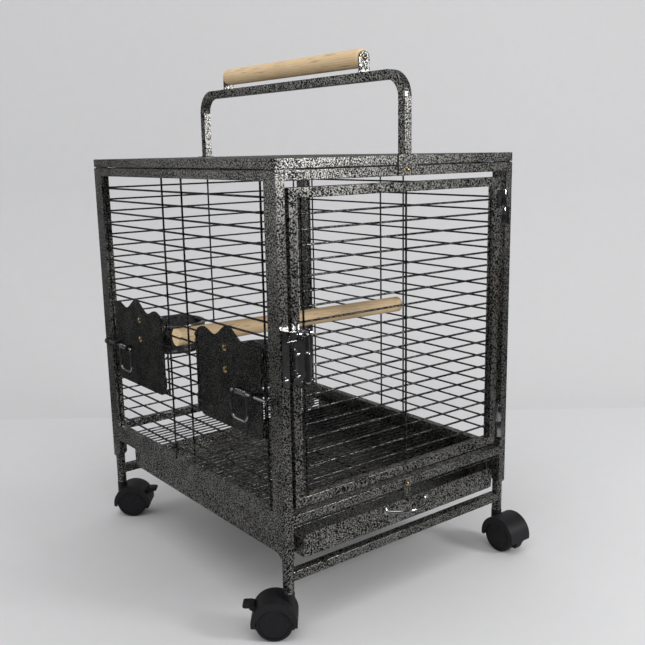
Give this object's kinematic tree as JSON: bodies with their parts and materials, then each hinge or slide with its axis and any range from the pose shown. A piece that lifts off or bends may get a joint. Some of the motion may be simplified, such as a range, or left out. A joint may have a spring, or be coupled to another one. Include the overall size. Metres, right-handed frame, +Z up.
{
  "type": "parrot travel cage on casters",
  "caption": "Welded wire bird cage with a hinged door, swing-out feeder bowls, pull-out tray, carry handle and twin-wheel swivel casters.",
  "frame": {"origin": "on the floor under the middle of the cage", "axes": "+Z up; the door and the tray's front face -Y; the two feeder hatches face -X"},
  "size_m": [0.51, 0.5846, 0.7532],
  "materials": {
    "hammered_paint": "black and silver hammertone powder coat",
    "wire_paint": "the same coat on wire, thinner and shinier",
    "chrome": "bright plate",
    "stainless": "spun stainless steel",
    "brass": "polished dome screws",
    "wood": "bare sanded hardwood",
    "nylon": "moulded nylon",
    "wheel_nylon": "polished nylon wheels"
  },
  "bodies": {
    "frame": {"post_front_left": "hammered_paint", "post_front_right": "hammered_paint", "post_rear_left": "hammered_paint", "post_rear_right": "hammered_paint", "top_rails": "hammered_paint", "floor_rails": "hammered_paint", "base_rails": "hammered_paint", "tray_runners": "hammered_paint", "roof_cap": "hammered_paint", "handle": "hammered_paint", "grip_dowel": "wood", "brass_screws": "brass", "perch": "wood", "mesh_left": "wire_paint", "mesh_right": "wire_paint", "mesh_back": "wire_paint", "grate": "wire_paint", "door_hinge_lower": "chrome", "door_hinge_pins": "chrome", "latch_strike": "chrome", "strike_screws": "chrome", "hatch_pins": "hammered_paint", "hatch_catches": "hammered_paint", "caster_stems": "chrome"},
    "door": {"door_frame": "hammered_paint", "door_mesh": "wire_paint", "door_hinge_upper": "chrome", "latch_case": "chrome", "latch_screws": "chrome"},
    "latch": {"latch_bolt": "chrome"},
    "tray": {"tray": "hammered_paint", "tray_pull": "chrome"},
    "keeper": {"tray_keeper": "hammered_paint"},
    "hatch_front": {"hatch_front": "hammered_paint", "bowl_ring_front": "hammered_paint", "hatch_screws_front": "brass", "hatch_spring_front": "chrome"},
    "bolt_front": {"hatch_bolt_front": "chrome"},
    "bowl_front": {"bowl_front": "stainless"},
    "hatch_rear": {"hatch_rear": "hammered_paint", "bowl_ring_rear": "hammered_paint", "hatch_screws_rear": "brass", "hatch_spring_rear": "chrome"},
    "bolt_rear": {"hatch_bolt_rear": "chrome"},
    "bowl_rear": {"bowl_rear": "stainless"},
    "caster_fl": {"caster_hood_fl": "nylon", "caster_axle_fl": "chrome"},
    "wheels_fl": {"caster_wheels_fl": "wheel_nylon"},
    "brake_fl": {"brake_pedal_fl": "nylon"},
    "caster_fr": {"caster_hood_fr": "nylon", "caster_axle_fr": "chrome"},
    "wheels_fr": {"caster_wheels_fr": "wheel_nylon"},
    "caster_rl": {"caster_hood_rl": "nylon", "caster_axle_rl": "chrome"},
    "wheels_rl": {"caster_wheels_rl": "wheel_nylon"},
    "brake_rl": {"brake_pedal_rl": "nylon"},
    "caster_rr": {"caster_hood_rr": "nylon", "caster_axle_rr": "chrome"},
    "wheels_rr": {"caster_wheels_rr": "wheel_nylon"}
  },
  "joints": [
    {"name": "door_swing", "type": "hinge", "parent": "frame", "child": "door", "pos_m": [0.192, -0.258, 0.35], "axis": [0, 0, 1], "range_deg": [0, 135]},
    {"name": "latch_slide", "type": "slide", "parent": "door", "child": "latch", "axis": [-1, 0, 0], "range_m": [0, 0.005]},
    {"name": "tray_slide", "type": "slide", "parent": "frame", "child": "tray", "axis": [0, -1, 0], "range_m": [0, 0.4]},
    {"name": "keeper_turn", "type": "hinge", "parent": "frame", "child": "keeper", "pos_m": [0, -0.259, 0.1579], "axis": [0, 1, 0], "range_deg": [-90, 90]},
    {"name": "hatch_rear_swing", "type": "hinge", "parent": "frame", "child": "hatch_rear", "pos_m": [-0.2087, 0.0525, 0.318], "axis": [0, 0, 1], "range_deg": [0, 100]},
    {"name": "bolt_rear_slide", "type": "slide", "parent": "hatch_rear", "child": "bolt_rear", "axis": [0, 1, 0], "range_m": [0, 0.006]},
    {"name": "bowl_rear_lift", "type": "slide", "parent": "hatch_rear", "child": "bowl_rear", "axis": [0, 0, 1], "range_m": [0, 0.05]},
    {"name": "hatch_front_swing", "type": "hinge", "parent": "frame", "child": "hatch_front", "pos_m": [-0.2087, -0.0525, 0.318], "axis": [0, 0, -1], "range_deg": [0, 100]},
    {"name": "bolt_front_slide", "type": "slide", "parent": "hatch_front", "child": "bolt_front", "axis": [0, -1, 0], "range_m": [0, 0.006]},
    {"name": "bowl_front_lift", "type": "slide", "parent": "hatch_front", "child": "bowl_front", "axis": [0, 0, 1], "range_m": [0, 0.05]},
    {"name": "caster_fl_swivel", "type": "hinge", "parent": "frame", "child": "caster_fl", "pos_m": [-0.2023, -0.2493, 0.05], "axis": [0, 0, 1], "continuous": true},
    {"name": "wheels_fl_spin", "type": "hinge", "parent": "caster_fl", "child": "wheels_fl", "pos_m": [-0.21727, -0.2376, 0.025], "axis": [-0.6157, -0.788, 0], "continuous": true},
    {"name": "brake_fl_press", "type": "hinge", "parent": "caster_fl", "child": "brake_fl", "pos_m": [-0.24012, -0.21975, 0.043], "axis": [-0.6157, -0.788, 0], "range_deg": [0, 20]},
    {"name": "caster_fr_swivel", "type": "hinge", "parent": "frame", "child": "caster_fr", "pos_m": [0.2023, -0.2493, 0.05], "axis": [0, 0, 1], "continuous": true},
    {"name": "wheels_fr_spin", "type": "hinge", "parent": "caster_fr", "child": "wheels_fr", "pos_m": [0.2023, -0.2683, 0.025], "axis": [1, 0, 0], "continuous": true},
    {"name": "caster_rl_swivel", "type": "hinge", "parent": "frame", "child": "caster_rl", "pos_m": [-0.2023, 0.2493, 0.05], "axis": [0, 0, 1], "continuous": true},
    {"name": "wheels_rl_spin", "type": "hinge", "parent": "caster_rl", "child": "wheels_rl", "pos_m": [-0.18733, 0.2376, 0.025], "axis": [0.6157, 0.788, 0], "continuous": true},
    {"name": "brake_rl_press", "type": "hinge", "parent": "caster_rl", "child": "brake_rl", "pos_m": [-0.16448, 0.21975, 0.043], "axis": [0.6157, 0.788, 0], "range_deg": [0, 20]},
    {"name": "caster_rr_swivel", "type": "hinge", "parent": "frame", "child": "caster_rr", "pos_m": [0.2023, 0.2493, 0.05], "axis": [0, 0, 1], "continuous": true},
    {"name": "wheels_rr_spin", "type": "hinge", "parent": "caster_rr", "child": "wheels_rr", "pos_m": [0.22015, 0.2558, 0.025], "axis": [-0.342, 0.9397, 0], "continuous": true}
  ]
}
